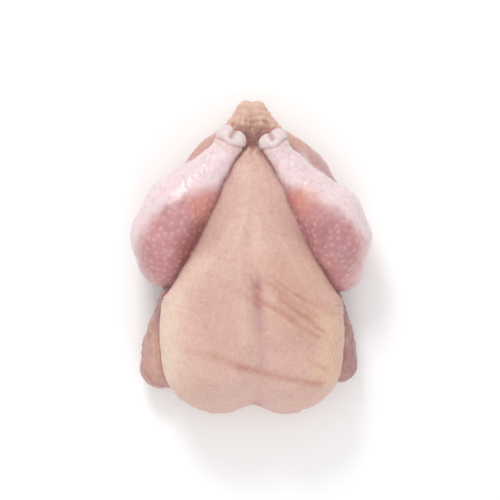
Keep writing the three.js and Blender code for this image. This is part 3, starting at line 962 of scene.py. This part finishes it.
def paint_ends(paint, zones, bumps, gathered):
    """Goose bumps, the tail, the vent with painted shade in its hollow and its gathers, the hocks, and
    painted shade in the creases between all of them.
    """
    lay, flesh, hock, tail = paint.lay, zones["flesh"], zones["hock"], zones["tail"]
    lay(0.48 * bumps * flesh, TONES.flesh_bump)
    lay(0.16 * bumps * (1 - flesh), TONES.bump)
    lay(0.16 * eased(paint.fleck * 1.5), TONES.fleck)
    lay(0.8 * tail, TONES.tail)
    # Painted shade in the hollow of the vent
    lay(0.8 * zones["vent"], TONES.vent)
    # Painted shade in the valleys of the gathers round the vent
    lay(0.6 * zones["vent_rim"] * eased(-1.5 * np.sin(gathered)), TONES.vent_fold_shade)
    lay(0.5 * bumps * tail, TONES.tail_bump)
    lay(0.5 * zones["hock_edge"], TONES.hock_edge)
    lay(0.9 * hock, TONES.hock)
    lay(0.6 * zones["hock_ring"], TONES.hock_ring)
    lay(0.65 * zones["hock_groove"], TONES.hock_groove)
    # Painted shade in the creases between legs, wings and body, deepest at the bottom of each
    lay(0.6 * zones["crease"] * (1 - hock), TONES.crease)
    lay(0.75 * zones["cleft_shade"] * (1 - hock), TONES.cleft_shade)


def painted(points, zones, bumps, banded, gathered):
    """Colour of the skin at each point, as linear light."""
    paint = Paint(points, TONES.skin)
    paint_body(paint, points, zones, banded)
    paint_legs(paint, points, zones)
    paint_wings(paint, points, zones)
    paint_ends(paint, zones, bumps, gathered)
    return paint.colours**CONTRAST * EXPOSURE


# The skin's material, with colours in linear light
GRAIN_SIZE, BLOTCH_SIZE = 1.3, 4.5  # lumps in the skin's finish, in millimetres
GRAIN_DARK = (0.62, 0.42, 0.4, 1)
BLOTCH_WARM = (0.8, 0.62, 0.55, 1)
# Painted highlight on the ridges of the pleats, and painted shade in their valleys
PLEAT_RIDGE_HIGHLIGHT = (0.86, 0.67, 0.47, 1)
PLEAT_VALLEY_SHADE = (0.55, 0.3, 0.2, 1)
FLOOR_COLOUR = (0.96, 0.96, 0.96, 1)


def skin_material():
    s = Shader("raw_chicken_skin")
    place = s.node("ShaderNodeTexCoord", out="Object")
    wet, goose, pleat = s.attribute("wet"), s.attribute("goose"), s.attribute("pleat")
    ridge = s.attribute("turn").math("SINE") * 0.5 + 0.5
    pimple = 1 - s.step(s.attribute("follicle"), 0.15, 1.3)
    tint = s.attribute("tint", out="Color")
    grain = s.noise(place, GRAIN_SIZE)
    blotch = s.noise(place, BLOTCH_SIZE)
    base = s.mix(s.step(grain, 0.45, 0.7) * 0.16, tint, GRAIN_DARK, "MULTIPLY")
    base = s.mix(s.step(blotch, 0.5, 0.75) * 0.1, base, BLOTCH_WARM)
    # Painted highlight on the ridges of the pleats, and painted shade in their valleys
    base = s.mix(s.step(ridge, 0.45, 1.0) * pleat * 0.5, base, PLEAT_RIDGE_HIGHLIGHT)
    base = s.mix(s.step(ridge, 0.5, 0.0) * pleat * 0.3, base, PLEAT_VALLEY_SHADE)
    height = grain * 0.12 + pimple * goose * 0.3 + ridge * pleat * 0.45
    return s.finish(
        Base_Color=base, Roughness=0.48 - wet * 0.12 + blotch * 0.08, Normal=s.bump(height, MM, 0.8),
        Subsurface_Weight=0.2, Subsurface_Radius=(1.0, 0.35, 0.25), Subsurface_Scale=2.5 * MM,
        IOR=1.4, Specular_IOR_Level=0.45, Coat_Weight=wet * 0.5, Coat_Roughness=0.22,
    )


# Studio
def area_light(name, place, size, power):
    data = bpy.data.lights.new(name, "AREA")
    data.size, data.energy = size, power
    lamp = bpy.data.objects.new(name, data)
    lamp.location = place
    aim = Vector((0, 0, OUTLINE_HEIGHT)) - Vector(place)
    lamp.rotation_euler = aim.to_track_quat("-Z", "Y").to_euler()
    bpy.context.scene.collection.objects.link(lamp)


def floor():
    bm = bmesh.new()
    bmesh.ops.create_grid(bm, x_segments=1, y_segments=1, size=FLOOR_HALF_WIDTH)
    mesh = bpy.data.meshes.new("floor")
    bm.to_mesh(mesh)
    bm.free()
    obj = bpy.data.objects.new("floor", mesh)
    bpy.context.scene.collection.objects.link(obj)
    obj.data.materials.append(Shader("pale_floor").finish(Base_Color=FLOOR_COLOUR, Roughness=0.8))


def studio():
    floor()
    for light in LIGHTS:
        area_light(**light)
    world = bpy.data.worlds.new("studio")
    bpy.context.scene.world = world
    world.use_nodes = True
    sky = world.node_tree.nodes["Background"]
    sky.inputs["Color"].default_value = (1, 1, 1, 1)
    sky.inputs["Strength"].default_value = WORLD_STRENGTH
    bpy.context.scene.view_settings.view_transform = "Standard"


def camera():
    data = bpy.data.cameras.new("camera")
    data.sensor_width = SENSOR
    data.lens = SENSOR * CAMERA_DISTANCE / VIEW_WIDTH
    obj = bpy.data.objects.new("camera", data)
    obj.location = (*CAMERA_CENTRE, OUTLINE_HEIGHT + CAMERA_DISTANCE)
    bpy.context.scene.collection.objects.link(obj)
    bpy.context.scene.camera = obj


camera()
skin = netted_skin()
shape_details(skin)
skin.data.materials.append(skin_material())
skin.data.polygons.foreach_set("use_smooth", np.ones(len(skin.data.polygons), bool))
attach(skin, "root")
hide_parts("chicken")
studio()
